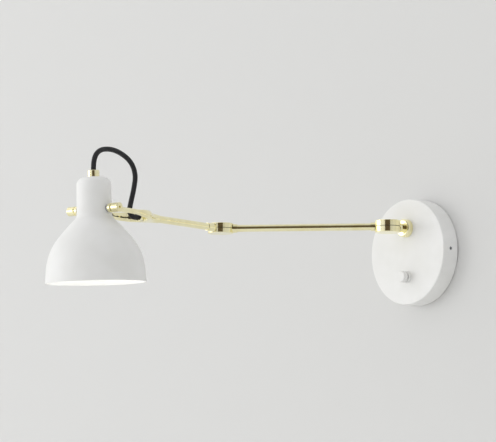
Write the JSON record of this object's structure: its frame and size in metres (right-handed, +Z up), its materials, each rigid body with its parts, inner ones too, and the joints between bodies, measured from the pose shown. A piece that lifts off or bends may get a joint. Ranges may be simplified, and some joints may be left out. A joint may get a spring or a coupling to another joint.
{
  "type": "swing arm wall sconce",
  "caption": "Wall light with a round canopy and push switch, slim brass swing arms on vertical hinges, a fork and a tilting bell shade fed by a looped textile cable.",
  "frame": {"origin": "centre of the canopy on the wall, in the plane of the wall, halfway between the two wall screws", "axes": "+Z up, +Y into the wall, -Y out into the room, +X to the right as seen from the room"},
  "size_m": [0.2089, 0.4494, 0.157],
  "materials": {
    "white_paint": "matt powder coat",
    "polished_brass": "polished and lacquered",
    "zinc_steel": "bright zinc plate",
    "raw_brass": "turned",
    "nylon": "moulded",
    "terminal_plastic": "moulded",
    "black_plastic": "moulded",
    "textile_cable": "braided",
    "lead_sheath": "smooth PVC",
    "opal_glass": "opal"
  },
  "bodies": {
    "wall_mount": {"wall_bracket": "zinc_steel", "canopy_cover": "white_paint", "canopy_side_screws": "zinc_steel", "terminal_block": "terminal_plastic", "terminal_screws": "zinc_steel", "earth_screw": "raw_brass", "switch_body": "black_plastic", "switch_collar": "white_paint", "wall_hinge_base": "polished_brass", "stem_nut": "zinc_steel", "stem_washer": "zinc_steel", "wall_hinge_pin": "zinc_steel", "wall_hinge_washer": "nylon", "wall_hinge_lower_cap": "polished_brass"},
    "switch_button": {"switch_button": "white_paint"},
    "inner_arm": {"inner_arm_wall_knuckle": "polished_brass", "inner_arm_elbow_knuckle": "polished_brass", "inner_arm_tube": "polished_brass", "inner_arm_lead": "lead_sheath", "wall_hinge_upper_cap": "polished_brass", "elbow_pin": "zinc_steel", "elbow_washer": "nylon", "elbow_lower_cap": "polished_brass"},
    "outer_arm": {"outer_arm_elbow_knuckle": "polished_brass", "outer_arm_tube": "polished_brass", "outer_arm_lead": "lead_sheath", "elbow_upper_cap": "polished_brass", "fork": "polished_brass", "cable": "textile_cable"},
    "shade_head": {"shade": "white_paint", "pivot_bushes": "zinc_steel", "pivot_washers": "nylon", "pivot_knobs": "polished_brass", "gland": "polished_brass", "gland_screw": "polished_brass", "nipple": "zinc_steel", "nipple_nut": "zinc_steel", "lamp_holder": "black_plastic", "lamp_lead": "textile_cable", "bulb": "opal_glass", "bulb_cap": "zinc_steel"}
  },
  "joints": [
    {"name": "wall_swing", "type": "hinge", "parent": "wall_mount", "child": "inner_arm", "pos_m": [0, -0.05175, 0.0268], "axis": [0, 0, -1], "range_deg": [-100, 30]},
    {"name": "elbow_swing", "type": "hinge", "parent": "inner_arm", "child": "outer_arm", "pos_m": [-0.13435, -0.1861, 0.0268], "axis": [0, 0, 1], "range_deg": [-139, 65]},
    {"name": "shade_tilt", "type": "hinge", "parent": "outer_arm", "child": "shade_head", "pos_m": [-0.08038, -0.39938, 0.0268], "axis": [0.9694, 0.2453, 0], "range_deg": [-85, 30], "deforming": ["cable"]},
    {"name": "switch_press", "type": "slide", "parent": "wall_mount", "child": "switch_button", "axis": [0, 1, 0], "range_m": [0, 0.0015], "stiffness_N_per_m": 600, "springref_m": -0.001}
  ]
}
